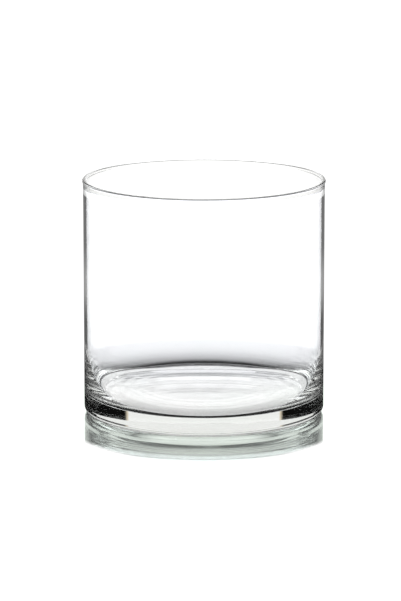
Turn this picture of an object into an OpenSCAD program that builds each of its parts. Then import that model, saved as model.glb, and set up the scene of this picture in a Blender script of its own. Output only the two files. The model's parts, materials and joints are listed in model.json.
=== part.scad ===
// Clear glass cylinder vase: a straight tube wall that thickens at its foot, joined to a thick, flat-floored base.
// Millimetres, +Z up. The origin is on the axis, in the plane that the vase rests on.

/* [Overall] */
// Outside diameter of the straight wall
outer_d = 150; // [100:1:250]
// Height from the resting plane to the top of the rim
height = 147.5; // [80:0.5:400]

/* [Wall] */
// Thickness of the straight wall
wall_t = 1.9; // [1.6:0.1:5]
// How far the fire-polished rim bead stands proud of the outside of the wall
rim_proud = 0.5; // [0.1:0.1:1]
// How much thicker the foot of the wall would be at the floor
foot_w = 7; // [2:0.5:12]
// Height above the floor at which the foot has run out into the straight wall
foot_h = 30; // [10:1:40]
// Angle on the foot's ellipse, in degrees, at which the floor's fillet takes over: larger is a tighter fillet
foot_end = 75; // [60:1:80]

/* [Base] */
// Thickness of the glass between the floor and the resting plane
base_t = 12.7; // [9:0.1:25]
// Radius of the rounded heel, where the outside turns under
heel_r = 4.5; // [1:0.5:4.5]
// Width of the flat ring that the vase rests on
resting_ring_w = 5; // [2:0.5:10]
// Depth of the shallow hollow inside the resting ring, at the axis
hollow_depth = 0.6; // [0.2:0.1:1.5]

/* [Hidden] */
$fn = 180;
outer_r = outer_d / 2;
inner_r = outer_r - wall_t;
rim_r = (wall_t + rim_proud) / 2;
rim_z = height - rim_r;
hollow_r = outer_r - heel_r - resting_ring_w;
hollow_steps = 12;
foot_steps = 16;
clear = 1;
foot_top = base_t + foot_h;
foot_tilt = atan(foot_w / foot_h * tan(foot_end));
// The two pieces meet face to face where the fillet, tangent to the floor and to the foot, runs out into the foot.
joint_r = foot_r(foot_end);
joint_z = foot_z(foot_end);
fillet_r = (joint_z - base_t) / (1 - sin(foot_tilt));
floor_r = joint_r - fillet_r * cos(foot_tilt);

// Inside radius of the foot at an angle on its ellipse
function foot_r(angle) = inner_r - foot_w * (1 - cos(angle));

// Height of the foot's inside at an angle on its ellipse
function foot_z(angle) = foot_top - foot_h * sin(angle);

// Height of the hollow's roof at a distance r from the axis: nearly flat, and rounded down to the resting ring
function roof_z(r) = hollow_depth * (1 - pow(r / hollow_r, 6));

// Half section of the tube, with its foot thickened inside and its top closed by the round bead
module wall_section() {
    foot = [for (i = [0:foot_steps]) let (a = foot_end * i / foot_steps) [foot_r(a), foot_z(a)]];
    polygon(concat([[outer_r, joint_z], [outer_r, rim_z], [inner_r, rim_z]], foot));
    translate([inner_r + rim_r, rim_z]) circle(rim_r);
}

// Half section of the base's outside: a straight side above a rounded heel
module base_outside() {
    square([outer_r - heel_r, joint_z]);
    translate([0, heel_r]) square([outer_r, joint_z - heel_r]);
    translate([outer_r - heel_r, heel_r]) circle(heel_r);
}

// Half section of the space above the floor, with the fillet at its corner
module space_over_floor() {
    translate([0, base_t]) square([floor_r, fillet_r]);
    translate([floor_r, base_t + fillet_r]) circle(fillet_r);
}

// Half section of the hollow under the base
module space_under_base() {
    roof = [for (i = [0:hollow_steps]) let (r = hollow_r * i / hollow_steps) [r, roof_z(r)]];
    polygon(concat(roof, [[hollow_r, -clear], [0, -clear]]));
}

module cylinder_wall() {
    color([0.93, 0.96, 0.95, 0.35])
        rotate_extrude() wall_section();
}

module thick_base() {
    color([0.86, 0.92, 0.89, 0.45])
        rotate_extrude() difference() {
            base_outside();
            space_over_floor();
            space_under_base();
        }
}

cylinder_wall();
thick_base();
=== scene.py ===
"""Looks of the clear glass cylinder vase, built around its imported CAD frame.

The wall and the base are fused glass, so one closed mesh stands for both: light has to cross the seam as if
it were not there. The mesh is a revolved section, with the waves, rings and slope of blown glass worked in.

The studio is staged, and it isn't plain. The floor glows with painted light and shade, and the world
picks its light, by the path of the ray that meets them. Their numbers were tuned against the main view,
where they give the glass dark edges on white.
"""

import json
import math
from types import SimpleNamespace

import bmesh
import bpy
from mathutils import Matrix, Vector, noise


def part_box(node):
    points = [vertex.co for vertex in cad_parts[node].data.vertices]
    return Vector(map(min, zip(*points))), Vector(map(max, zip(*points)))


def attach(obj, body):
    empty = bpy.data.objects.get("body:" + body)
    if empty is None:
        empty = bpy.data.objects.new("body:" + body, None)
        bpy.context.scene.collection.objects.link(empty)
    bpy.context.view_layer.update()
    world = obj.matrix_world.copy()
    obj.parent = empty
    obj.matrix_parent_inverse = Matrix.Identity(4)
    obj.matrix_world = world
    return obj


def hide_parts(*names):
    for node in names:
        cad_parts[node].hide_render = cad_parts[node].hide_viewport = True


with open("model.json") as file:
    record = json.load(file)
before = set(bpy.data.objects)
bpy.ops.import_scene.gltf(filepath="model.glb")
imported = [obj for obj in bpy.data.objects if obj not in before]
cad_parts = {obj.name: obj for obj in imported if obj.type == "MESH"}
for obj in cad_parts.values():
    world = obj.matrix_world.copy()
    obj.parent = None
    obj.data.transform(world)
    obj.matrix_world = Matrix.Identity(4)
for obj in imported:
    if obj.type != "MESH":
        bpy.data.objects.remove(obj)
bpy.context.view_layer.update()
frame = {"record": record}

MM = 0.001

# ---------------------------------------------------------------- sizes, from the frame
mouth = next(m for m in frame["record"]["mounts"] if m["name"] == "mouth")
base_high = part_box("thick_base")[1]
wall_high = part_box("cylinder_wall")[1]

OUTER_R = base_high.x
INNER_R = mouth["dims"]["r_mm"] * MM
RIM_OUTER_R = wall_high.x
RIM_Z = wall_high.z
BEAD_R = (RIM_OUTER_R - INNER_R) / 2

# ---------------------------------------------------------------- sizes that the frame doesn't hold
HEEL_R = 4.5 * MM
RING_W = 5.0 * MM
HOLLOW_DEPTH = 0.6 * MM
HOLLOW_R = OUTER_R - HEEL_R - RING_W
ROOF_POWER = 6
FOOT_W = 7.0 * MM
FOOT_H = 30.0 * MM
FOOT_END = math.radians(75)
FOOT_TILT = math.atan(FOOT_W / FOOT_H * math.tan(FOOT_END))
FLOOR_Z = base_high.z - FOOT_H * (1 - math.sin(FOOT_END))
FILLET_R = (base_high.z - FLOOR_Z) / (1 - math.sin(FOOT_TILT))
BEAD_START_DEG = -50
NECK = 4 * MM
GAP = 1 * MM

# Points along each part of the section, and round the axis
STEPS = {
    "under": 60,
    "heel": 12,
    "outside": 56,
    "rim": 20,
    "inside": 50,
    "foot": 60,
    "fillet": 14,
    "floor": 96,
}
AROUND = 256

# ---------------------------------------------------------------- how the glass is worked
FLOOR_SLOPE = 0.022
WAVE = 0.03 * MM
WAVE_SIZE = (0.03, 0.03, 0.05)
UNDER_WAVE = 0.014 * MM
UNDER_SIZE = 0.009
UNDER_FADE = 3 * MM
UNDER_SEED = 3
RING_DEPTH = 0.02 * MM
RING_PITCH = 6.5 * MM
RING_START = 34.5 * MM
RING_FADE = 15 * MM
RING_DRIFT = 1.5
RING_DRIFT_SIZE = 0.05


def arc(centre_r, centre_z, radius, start_deg, end_deg, steps):
    """Points of a section's arc, from one angle to another, both ends included."""
    points = []
    for i in range(steps + 1):
        a = math.radians(start_deg + (end_deg - start_deg) * i / steps)
        points.append((centre_r + radius * math.cos(a), centre_z + radius * math.sin(a)))
    return points


def line(start, end, steps):
    """Points of a straight stretch, without its last one."""
    return [
        (start[0] + (end[0] - start[0]) * i / steps, start[1] + (end[1] - start[1]) * i / steps)
        for i in range(steps)
    ]


def roof(steps):
    """Points of the hollow's roof, from near the axis out to the resting ring."""
    return [
        (HOLLOW_R * i / steps, HOLLOW_DEPTH * (1 - (i / steps) ** ROOF_POWER))
        for i in range(1, steps + 1)
    ]


def foot(angle):
    """A point on the inside of the foot, which is part of an ellipse, at an angle on that ellipse."""
    return (INNER_R - FOOT_W * (1 - math.cos(angle)), FLOOR_Z + FOOT_H * (1 - math.sin(angle)))


def section():
    """The half section, as (part, r, z), from the axis underneath, round the outside, to the axis inside."""
    floor_r = foot(FOOT_END)[0] - FILLET_R * math.cos(FOOT_TILT)
    bead_z = RIM_Z - BEAD_R
    fillet_start_deg = -math.degrees(FOOT_TILT)
    parts = {
        "under": roof(STEPS["under"]),
        "heel": arc(OUTER_R - HEEL_R, HEEL_R, HEEL_R, -90, 0, STEPS["heel"]),
        "outside": line((OUTER_R, HEEL_R + GAP), (OUTER_R, RIM_Z - NECK), STEPS["outside"]),
        "rim": arc(INNER_R + BEAD_R, bead_z, BEAD_R, BEAD_START_DEG, 180, STEPS["rim"]),
        "inside": line((INNER_R, bead_z - GAP), (INNER_R, FLOOR_Z + FOOT_H + GAP), STEPS["inside"]),
        "foot": [foot(FOOT_END * i / STEPS["foot"]) for i in range(STEPS["foot"])],
        "fillet": arc(floor_r, FLOOR_Z + FILLET_R, FILLET_R, fillet_start_deg, -90, STEPS["fillet"]),
        "floor": line((floor_r - GAP / 2, FLOOR_Z), (GAP / 2, FLOOR_Z), STEPS["floor"]),
    }
    return [(part, r, z) for part, points in parts.items() for r, z in points]


def worked(part, r, z, angle):
    """The place of a point once the glass has been worked: where it waves, dips and leans."""
    x, y = r * math.cos(angle), r * math.sin(angle)
    if part in ("foot", "fillet", "floor"):
        lean = min(1, max(0, 1 - (z - FLOOR_Z) / FOOT_H))
        z += FLOOR_SLOPE * y * lean
    if part in ("inside", "foot", "outside"):
        soft = noise.noise(Vector((x / WAVE_SIZE[0], y / WAVE_SIZE[1], z / WAVE_SIZE[2])))
        r -= WAVE * (0.5 + 0.5 * soft)
    if part == "under":
        soft = noise.noise(Vector((x / UNDER_SIZE, y / UNDER_SIZE, UNDER_SEED)))
        z += UNDER_WAVE * soft * min(1, (HOLLOW_R - r) / UNDER_FADE)
    if part == "floor":
        drift = RING_DRIFT * noise.noise(Vector((x / RING_DRIFT_SIZE, y / RING_DRIFT_SIZE, 0)))
        rings = math.sin(2 * math.pi * r / RING_PITCH + drift)
        z += RING_DEPTH * rings * min(1, max(0, (r - RING_START) / RING_FADE))
    return (r * math.cos(angle), r * math.sin(angle), z)


def revolve(name, points, under_z, floor_z):
    """A closed mesh of revolution, with a fan at each end of the section."""
    bm = bmesh.new()
    rings = []
    for part, r, z in points:
        rings.append([bm.verts.new(worked(part, r, z, 2 * math.pi * i / AROUND)) for i in range(AROUND)])
    bottom = bm.verts.new((0, 0, under_z))
    top = bm.verts.new((0, 0, floor_z))
    for i in range(AROUND):
        j = (i + 1) % AROUND
        for low, high in zip(rings, rings[1:]):
            bm.faces.new((low[i], low[j], high[j], high[i]))
        bm.faces.new((bottom, rings[0][j], rings[0][i]))
        bm.faces.new((top, rings[-1][i], rings[-1][j]))
    for face in bm.faces:
        face.smooth = True
    mesh = bpy.data.meshes.new(name)
    bm.to_mesh(mesh)
    bm.free()
    made = bpy.data.objects.new(name, mesh)
    bpy.context.scene.collection.objects.link(made)
    return made


# ---------------------------------------------------------------- node helpers
# The inputs to mix and the output of a Mix node, for each type of data
MIX_SOCKETS = {"FLOAT": (2, 3, 0), "RGBA": (6, 7, 2)}


def put(tree, socket, value):
    """Links a socket's source, or sets its value."""
    if isinstance(value, bpy.types.NodeSocket):
        tree.links.new(value, socket)
    else:
        socket.default_value = value


def math_node(tree, operation, *values):
    node = tree.nodes.new("ShaderNodeMath")
    node.operation = operation
    for socket, value in zip(node.inputs, values):
        put(tree, socket, value)
    return node.outputs[0]


def vector_node(tree, operation, output, *values):
    node = tree.nodes.new("ShaderNodeVectorMath")
    node.operation = operation
    for socket, value in zip(node.inputs, values):
        put(tree, socket, value)
    return node.outputs[output]


def ramp(tree, value, step, at_low=0.0, at_high=1.0):
    """A smooth step from one value to another, between the two places in step."""
    node = tree.nodes.new("ShaderNodeMapRange")
    node.interpolation_type = "SMOOTHSTEP"
    put(tree, node.inputs["Value"], value)
    put(tree, node.inputs["From Min"], step[0])
    put(tree, node.inputs["From Max"], step[1])
    put(tree, node.inputs["To Min"], at_low)
    put(tree, node.inputs["To Max"], at_high)
    return node.outputs[0]


def mix(tree, data_type, factor, first, second):
    node = tree.nodes.new("ShaderNodeMix")
    node.data_type = data_type
    a, b, result = MIX_SOCKETS[data_type]
    put(tree, node.inputs[0], factor)
    put(tree, node.inputs[a], first)
    put(tree, node.inputs[b], second)
    return node.outputs[result]


def product(tree, *factors):
    result = factors[0]
    for factor in factors[1:]:
        result = math_node(tree, "MULTIPLY", result, factor)
    return result


def brightest(tree, *values):
    result = values[0]
    for value in values[1:]:
        result = math_node(tree, "MAXIMUM", result, value)
    return result


def inverse(tree, value):
    return math_node(tree, "SUBTRACT", 1.0, value)


def equals(tree, count, number):
    return math_node(tree, "COMPARE", count, number, 0.5)


def above(tree, value, number):
    return math_node(tree, "GREATER_THAN", value, number)


def noise_texture(tree, place, scale, detail):
    node = tree.nodes.new("ShaderNodeTexNoise")
    tree.links.new(place, node.inputs["Vector"])
    node.inputs["Scale"].default_value = scale
    node.inputs["Detail"].default_value = detail
    return node.outputs[0]


# ---------------------------------------------------------------- the glass
IOR = 1.52
ABSORB_COLOUR = (0.60, 0.63, 0.60, 1)
ABSORB_DENSITY = 3.5
CLEAN_COLOUR = (1, 1, 1, 1)
SMUDGED_COLOUR = (0.985, 0.996, 0.990, 1)
SMUDGE_SCALE = 24.0
SMUDGE_DETAIL = 4.0
SMUDGE_COLOUR_STEP = (0.40, 0.70)
SMUDGE_ROUGH_STEP = (0.50, 0.75)
SMUDGE_ROUGH = 0.003
SCUFF_SCALE = 400.0
SCUFF_DETAIL = 3.0
SCUFF_STEP = (0.45, 0.65)
SCUFF_HEIGHT_STEP = (0.01 * MM, 0.04 * MM)
SCUFF_ROUGH = 0.15
RIPPLE_SCALE = 110.0
RIPPLE_DETAIL = 1.0
RIPPLE_STRENGTH = 0.25
RIPPLE_DEPTH = 0.02 * MM


def clear_glass():
    """Soda-lime glass with a breath of green, faint smudges, fine ripples and a scuffed resting ring."""
    mat = bpy.data.materials.new("clear_glass")
    mat.use_nodes = True
    tree = mat.node_tree
    bsdf = tree.nodes["Principled BSDF"]
    bsdf.inputs["IOR"].default_value = IOR
    bsdf.inputs["Transmission Weight"].default_value = 1.0
    place = tree.nodes.new("ShaderNodeTexCoord").outputs["Object"]
    xyz = tree.nodes.new("ShaderNodeSeparateXYZ")
    tree.links.new(place, xyz.inputs[0])

    smudges = noise_texture(tree, place, SMUDGE_SCALE, SMUDGE_DETAIL)
    smudged = ramp(tree, smudges, SMUDGE_COLOUR_STEP)
    put(tree, bsdf.inputs["Base Color"], mix(tree, "RGBA", smudged, CLEAN_COLOUR, SMUDGED_COLOUR))

    resting = ramp(tree, xyz.outputs["Z"], SCUFF_HEIGHT_STEP, SCUFF_ROUGH, 0.0)
    scratches = ramp(tree, noise_texture(tree, place, SCUFF_SCALE, SCUFF_DETAIL), SCUFF_STEP)
    dulled = ramp(tree, smudges, SMUDGE_ROUGH_STEP, 0.0, SMUDGE_ROUGH)
    put(tree, bsdf.inputs["Roughness"], brightest(tree, dulled, product(tree, resting, scratches)))

    bump = tree.nodes.new("ShaderNodeBump")
    bump.inputs["Strength"].default_value = RIPPLE_STRENGTH
    bump.inputs["Distance"].default_value = RIPPLE_DEPTH
    put(tree, bump.inputs["Height"], noise_texture(tree, place, RIPPLE_SCALE, RIPPLE_DETAIL))
    tree.links.new(bump.outputs[0], bsdf.inputs["Normal"])

    absorb = tree.nodes.new("ShaderNodeVolumeAbsorption")
    absorb.inputs["Color"].default_value = ABSORB_COLOUR
    absorb.inputs["Density"].default_value = ABSORB_DENSITY
    tree.links.new(absorb.outputs[0], tree.nodes["Material Output"].inputs["Volume"])
    return mat


vase = revolve("vase_glass", section(), HOLLOW_DEPTH, FLOOR_Z)
vase.data.materials.append(clear_glass())
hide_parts("cylinder_wall", "thick_base")
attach(vase, "root")

# ---------------------------------------------------------------- studio
# A reach is a distance from the vase's axis along the floor, in metres. An azimuth is in degrees from +Y,
# which is straight behind the vase, to either side. An elevation is in degrees above the horizon.
WHITE = 1.12
DARK = 0.005

# The floor: a glossy patch round the vase, on a white table
FLOOR_SIZE = 40
FLOOR_ROUGH = 0.04
PATCH_SIZE = (0.093, 0.134, 1)
PATCH_STEP = (0.955, 1.02)
GLOSS = 0.95
GLOSS_THROUGH = 0.92
GLOSS_TINT = (0.75, 0.81, 0.77, 1)
GLOSS_FACING_STEP = (0.15, 0.38)
FACING_BLEND = 0.5

# Painted shadow and painted light on the floor as seen straight down through the base
UNDER_GLOSS = 0.25
UNDER_PAINTED_SHADOW = 0.75
UNDER_PAINTED_LIGHT = 1.25
UNDER_FACING_STEP = (0.58, 0.72)

# Painted shade on the floor, with painted light streaks, where the edges of the wall, the heel and the rim
# bend it into view
DEEP_PAINTED_LIGHT = 0.7
DEEP_STEP = (0.082, 0.100)
EDGE_FAR_REACH = 0.2
EDGE_PAINTED_SHADE_NEAR = 0.025
EDGE_PAINTED_SHADE_FAR = 0.42
EDGE_STEP = (0.29, 0.42)
EDGE_PAINTED_SHADE_DIM = 0.3
EDGE_DIM_STEP = (0.44, 0.60)
STREAK_SCALE = 22.0
STREAK_DETAIL = 2.0
STREAK_STEP = (0.43, 0.50)
STREAK_START = (0.105, 0.12)
STREAK_END = (0.18, 0.24)
RIM_PAINTED_LIGHT = 0.95
RIM_STEP = (0.80, 0.84)
# Painted highlight: the floor glows brighter than white to rays that crossed two faces of glass without a
# bounce.
RIM_PAINTED_HIGHLIGHT = 1.9

# Painted reflection: the floor darkened where the outside of the vase mirrors it
MIRRORED_PAINTED_NEAR = 0.03
MIRRORED_PAINTED_FAR = 0.2
MIRRORED_STEP = (0.14, 0.22)
MIRRORED_PAINTED_FRONT = 0.02
MIRRORED_BACK_STEP = (0.0, 0.1)

# The white panel behind the vase, which ends in a dark ceiling, and the lights that lift parts of it
WALL_WHITE = 1.18
PANEL_STEP = (15.2, 33.5)
SIDE_RISE = 16.0
SIDE_RISE_STEP = (26.0, 38.0)
SIDE_BOOST = 0.6
SIDE_BOOST_STEP = (12.0, 24.0)
LOW_WHITE = 1.8
LOW_STEP = (14.0, 20.0)
LAMP = 0.8
LAMP_STEP = (38.0, 50.0)
HEEL_WHITE = 1.2
HEEL_STEP = (90.0, 100.0)
BUSY_WHITE = 1.4
BUSY_BOUNCES = 4.5
BUSY_STEP = (15.0, 35.0)
SKY = 0.95
SKY_STEP = (15.0, 30.0)
SKY_WIDTH_STEP = (0.2, 0.6)

# The black card on each side, with a warm fringe along its inner edge
CARD_START = 30.0
CARD_EDGE = (-1.0, 1.0)
CARD_SHIFT = 12.0
CARD_SHIFT_STEP = (1.0, 2.0)
CARD_END = (98.0, 102.0)
CARD_FOOT = (4.0, 7.0)
CARD_HEAD = (20.0, 23.0)
FRINGE_START = (28.6, 29.1)
FRINGE_END = (32.0, 34.0)
FRINGE_COLOUR = (0.8, 0.7, 0.55, 1)
UNTINT_STEP = (0.0, 1.0)
WARM_WHITE = (1, 1, 0.985, 1)
COOL_WHITE = (0.96, 0.965, 1, 1)

# What keeps stray and mirrored light dark
MIRRORED_ONCE_STEP = (8.0, 20.0)
MIRRORED_SIDE_STEP = (25.0, 45.0)
STRAY_BOUNCES = 3.5
STRAY_STEP = (60.0, 100.0)


def ray_path(tree):
    """What a ray has met: its counts, and masks for the kinds of ray that the studio tells apart.

    A ray that has crossed two faces of glass has been through one wall, the rim or the base. One that has
    crossed four has been through the front and the back of the vase.
    """
    path = tree.nodes.new("ShaderNodeLightPath")
    crossed = path.outputs["Transmission Depth"]
    bounces = path.outputs["Glossy Depth"]
    sharp = path.outputs["Is Singular Ray"]
    inside = above(tree, crossed, 0.5)
    two_faces = equals(tree, crossed, 2.0)
    return SimpleNamespace(
        crossed=crossed,
        bounces=bounces,
        sharp=sharp,
        inside=inside,
        two_faces=two_faces,
        four_faces=equals(tree, crossed, 4.0),
        unbounced=equals(tree, bounces, 0.0),
        once=equals(tree, bounces, 1.0),
        rim=product(tree, two_faces, equals(tree, bounces, 0.0)),
        mirrored=product(tree, inverse(tree, inside), sharp, inverse(tree, path.outputs["Is Camera Ray"])),
    )


def floor_gloss(tree, ray, place, facing, edge, under):
    """How much the floor mirrors: a patch round the vase does, and so does most of what glass sees of it."""
    patch = vector_node(tree, "DIVIDE", "Vector", place, PATCH_SIZE)
    patch_r = vector_node(tree, "LENGTH", "Value", patch)
    grazing = ramp(tree, facing, GLOSS_FACING_STEP)
    direct = product(tree, inverse(tree, ray.inside), grazing, ramp(tree, patch_r, PATCH_STEP, GLOSS, 0.0))
    through = product(tree, ray.inside, grazing, GLOSS_THROUGH)
    return product(
        tree,
        brightest(tree, direct, through),
        inverse(tree, edge),
        inverse(tree, ray.mirrored),
        inverse(tree, product(tree, under, 1 - UNDER_GLOSS)),
    )


def painted_edge_shade(tree, place, reach):
    """Painted shade on the floor where the wall's edges bend it into view: dark, with painted light streaks
    close to the vase and painted light far out.
    """
    painted_streaks = noise_texture(tree, place, STREAK_SCALE, STREAK_DETAIL)
    return brightest(
        tree,
        product(
            tree,
            ramp(tree, reach, EDGE_STEP, EDGE_PAINTED_SHADE_NEAR, EDGE_PAINTED_SHADE_FAR),
            ramp(tree, reach, EDGE_DIM_STEP, 1.0, EDGE_PAINTED_SHADE_DIM),
        ),
        product(
            tree,
            ramp(tree, painted_streaks, STREAK_STEP),
            ramp(tree, reach, STREAK_START),
            ramp(tree, reach, STREAK_END, 1.0, 0.0),
        ),
        ramp(tree, reach, RIM_STEP, 0.0, RIM_PAINTED_LIGHT),
    )


def painted_floor_glow(tree, ray, place, reach, facing, edge, under):
    """The floor's glow: plain white to the camera, and painted light and shade for each kind of ray that has
    met the glass.
    """
    xyz = tree.nodes.new("ShaderNodeSeparateXYZ")
    tree.links.new(place, xyz.inputs[0])
    # The floor under the base: painted shadow in steep views, painted light brighter than white in low ones.
    painted_under_shade_and_light = ramp(tree, facing, UNDER_FACING_STEP, UNDER_PAINTED_SHADOW, UNDER_PAINTED_LIGHT)
    # Painted light: grey floor close to the vase, for rays that crossed two faces and bounced more than
    # once.
    deep_painted_light = product(
        tree,
        ray.two_faces,
        above(tree, ray.bounces, 1.5),
        ramp(tree, reach, DEEP_STEP, DEEP_PAINTED_LIGHT, 0.0),
    )
    white_and_painted_light = brightest(
        tree,
        inverse(tree, ray.inside),
        product(tree, under, painted_under_shade_and_light),
        product(tree, ray.rim, RIM_PAINTED_HIGHLIGHT),
        deep_painted_light,
    )
    # Painted reflection: the floor that the vase's outside mirrors is made dark, darkest near the vase and
    # at the front.
    painted_reflection_level = product(
        tree,
        ramp(tree, reach, MIRRORED_STEP, MIRRORED_PAINTED_NEAR, MIRRORED_PAINTED_FAR),
        ramp(tree, xyz.outputs["Y"], MIRRORED_BACK_STEP, MIRRORED_PAINTED_FRONT, 1.0),
    )
    painted_reflection_shade = inverse(tree, product(tree, ray.mirrored, inverse(tree, painted_reflection_level)))
    plain = product(tree, white_and_painted_light, painted_reflection_shade, WHITE)
    return mix(tree, "FLOAT", edge, plain, painted_edge_shade(tree, place, reach))


def pale_floor():
    """A pale glossy table, whose gloss dies away round the vase, and whose glow paints light and shade on
    it. Glass that looks at it finds a mirror.
    """
    bpy.ops.mesh.primitive_plane_add(size=FLOOR_SIZE)
    floor = bpy.context.object
    floor.name = "floor"
    mat = bpy.data.materials.new("floor")
    mat.use_nodes = True
    tree = mat.node_tree
    tree.nodes.clear()
    ray = ray_path(tree)
    place = tree.nodes.new("ShaderNodeTexCoord").outputs["Object"]
    reach = vector_node(tree, "LENGTH", "Value", place)
    weight = tree.nodes.new("ShaderNodeLayerWeight")
    weight.inputs["Blend"].default_value = FACING_BLEND
    facing = weight.outputs["Facing"]
    bent_far = product(tree, above(tree, reach, EDGE_FAR_REACH), above(tree, ray.bounces, 0.5))
    # The rays for which the floor shows painted shade, the glass's dark edges, in place of its plain white.
    edge = product(tree, ray.two_faces, brightest(tree, ray.once, bent_far))
    near = math_node(tree, "LESS_THAN", reach, OUTER_R)
    under = product(tree, ray.inside, ray.unbounced, near)

    glossy = tree.nodes.new("ShaderNodeBsdfGlossy")
    put(tree, glossy.inputs["Color"], mix(tree, "RGBA", ray.inside, GLOSS_TINT, CLEAN_COLOUR))
    glossy.inputs["Roughness"].default_value = FLOOR_ROUGH
    # The glow is painted light and shade, set for each kind of ray by the path it took.
    glow = tree.nodes.new("ShaderNodeEmission")
    glow.inputs["Color"].default_value = CLEAN_COLOUR
    put(tree, glow.inputs["Strength"], painted_floor_glow(tree, ray, place, reach, facing, edge, under))
    blend = tree.nodes.new("ShaderNodeMixShader")
    output = tree.nodes.new("ShaderNodeOutputMaterial")
    tree.links.new(floor_gloss(tree, ray, place, facing, edge, under), blend.inputs[0])
    tree.links.new(glow.outputs[0], blend.inputs[1])
    tree.links.new(glossy.outputs[0], blend.inputs[2])
    tree.links.new(blend.outputs[0], output.inputs["Surface"])
    floor.data.materials.append(mat)


def side_cards(tree, ray, azimuth, card_height):
    """A mask for the black card on each side, which only light that has crossed two faces can see."""
    shift = ramp(tree, ray.bounces, CARD_SHIFT_STEP, 0.0, CARD_SHIFT)
    card_edge = math_node(tree, "ADD", shift, CARD_START)
    sharp_third = product(tree, equals(tree, ray.bounces, 3.0), ray.sharp)
    return product(
        tree,
        ramp(tree, math_node(tree, "SUBTRACT", azimuth, card_edge), CARD_EDGE),
        ramp(tree, azimuth, CARD_END, 1.0, 0.0),
        card_height,
        ray.two_faces,
        brightest(tree, ray.once, equals(tree, ray.bounces, 2.0), sharp_third),
    )


def dark_side(tree, ray, azimuth):
    """A mask for what the vase's outside mirrors at its sides, and for light that strays out backwards."""
    stray = product(tree, ray.two_faces, above(tree, ray.bounces, STRAY_BOUNCES))
    return brightest(
        tree,
        product(tree, ray.mirrored, ramp(tree, azimuth, MIRRORED_ONCE_STEP), ray.once),
        product(tree, ray.mirrored, ramp(tree, azimuth, MIRRORED_SIDE_STEP)),
        product(tree, stray, ramp(tree, azimuth, STRAY_STEP)),
    )


def white_panel(tree, ray, azimuth, elevation):
    """The panel's tone, bright low down and dark above, which stands taller and brighter to the sides."""
    top = math_node(tree, "SUBTRACT", elevation, ramp(tree, azimuth, SIDE_RISE_STEP, 0.0, SIDE_RISE))
    aside = product(
        tree,
        ramp(tree, azimuth, SIDE_BOOST_STEP, 0.0, SIDE_BOOST),
        above(tree, ray.crossed, 3.5),
    )
    return product(
        tree,
        mix(tree, "FLOAT", ray.four_faces, WHITE, WALL_WHITE),
        ramp(tree, top, PANEL_STEP, 1.0, 0.0),
        math_node(tree, "ADD", aside, 1.0),
    )


def studio_world():
    """White all round. Light that has been through glass also finds black cards and a dark ceiling."""
    world = bpy.data.worlds.new("studio")
    bpy.context.scene.world = world
    world.use_nodes = True
    tree = world.node_tree
    ray = ray_path(tree)
    xyz = tree.nodes.new("ShaderNodeSeparateXYZ")
    tree.links.new(tree.nodes.new("ShaderNodeTexCoord").outputs["Generated"], xyz.inputs[0])
    across = math_node(tree, "ABSOLUTE", xyz.outputs["X"])
    azimuth = math_node(tree, "DEGREES", math_node(tree, "ARCTAN2", across, xyz.outputs["Y"]))
    elevation = math_node(tree, "DEGREES", math_node(tree, "ARCSINE", xyz.outputs["Z"]))
    card_height = product(
        tree,
        ramp(tree, elevation, CARD_FOOT),
        ramp(tree, elevation, CARD_HEAD, 1.0, 0.0),
    )

    panel = product(
        tree,
        white_panel(tree, ray, azimuth, elevation),
        inverse(tree, side_cards(tree, ray, azimuth, card_height)),
        inverse(tree, dark_side(tree, ray, azimuth)),
    )
    low = product(tree, ray.four_faces, ramp(tree, elevation, LOW_STEP, LOW_WHITE, 0.0))
    lamp = product(tree, ray.four_faces, ramp(tree, elevation, LAMP_STEP, 0.0, LAMP))
    heel = product(
        tree,
        ray.two_faces,
        equals(tree, ray.bounces, 3.0),
        inverse(tree, ray.sharp),
        ramp(tree, azimuth, HEEL_STEP, HEEL_WHITE, 0.0),
    )
    busy = product(
        tree,
        ray.two_faces,
        above(tree, ray.bounces, BUSY_BOUNCES),
        ramp(tree, azimuth, BUSY_STEP, BUSY_WHITE, 0.0),
    )
    sky = product(
        tree,
        ray.mirrored,
        ray.once,
        ramp(tree, elevation, SKY_STEP),
        ramp(tree, across, SKY_WIDTH_STEP, SKY, 0.0),
    )
    rim = product(tree, ray.rim, WHITE)
    by_glass = brightest(tree, panel, low, lamp, heel, busy, sky, rim, DARK)
    plain = inverse(tree, brightest(tree, ray.inside, ray.mirrored))
    untinted = ramp(tree, ray.bounces, UNTINT_STEP, WHITE, WHITE / GLOSS_TINT[0])

    fringe = product(
        tree,
        ray.two_faces,
        ray.once,
        ramp(tree, azimuth, FRINGE_START),
        ramp(tree, azimuth, FRINGE_END, 1.0, 0.0),
        card_height,
    )
    colour = mix(tree, "RGBA", ray.four_faces, WARM_WHITE, COOL_WHITE)
    background = tree.nodes["Background"]
    put(tree, background.inputs["Color"], mix(tree, "RGBA", fringe, colour, FRINGE_COLOUR))
    put(tree, background.inputs["Strength"], mix(tree, "FLOAT", plain, by_glass, untinted))


pale_floor()
studio_world()

scene = bpy.context.scene
scene.view_settings.view_transform = "Standard"
scene.cycles.max_bounces = 24
scene.cycles.glossy_bounces = 16
scene.cycles.transmission_bounces = 24
scene.cycles.sample_clamp_indirect = 3.0

# ---------------------------------------------------------------- camera
IMAGE_H = 601
FOCAL_PX = 3400.0
SENSOR = 36.0
PITCH_DEG = 11.65
DISTANCE = 2.080
HEIGHT = 0.499
SIDE = -0.00214
CLIP_END = 100

camera_data = bpy.data.cameras.new("camera")
camera_data.sensor_fit = "AUTO"
camera_data.sensor_width = SENSOR
camera_data.lens = FOCAL_PX * SENSOR / IMAGE_H
camera_data.clip_end = CLIP_END
camera = bpy.data.objects.new("camera", camera_data)
scene.collection.objects.link(camera)
camera.location = (SIDE, -DISTANCE, HEIGHT)
camera.rotation_euler = (math.radians(90 - PITCH_DEG), 0, 0)
scene.camera = camera

bpy.context.view_layer.update()
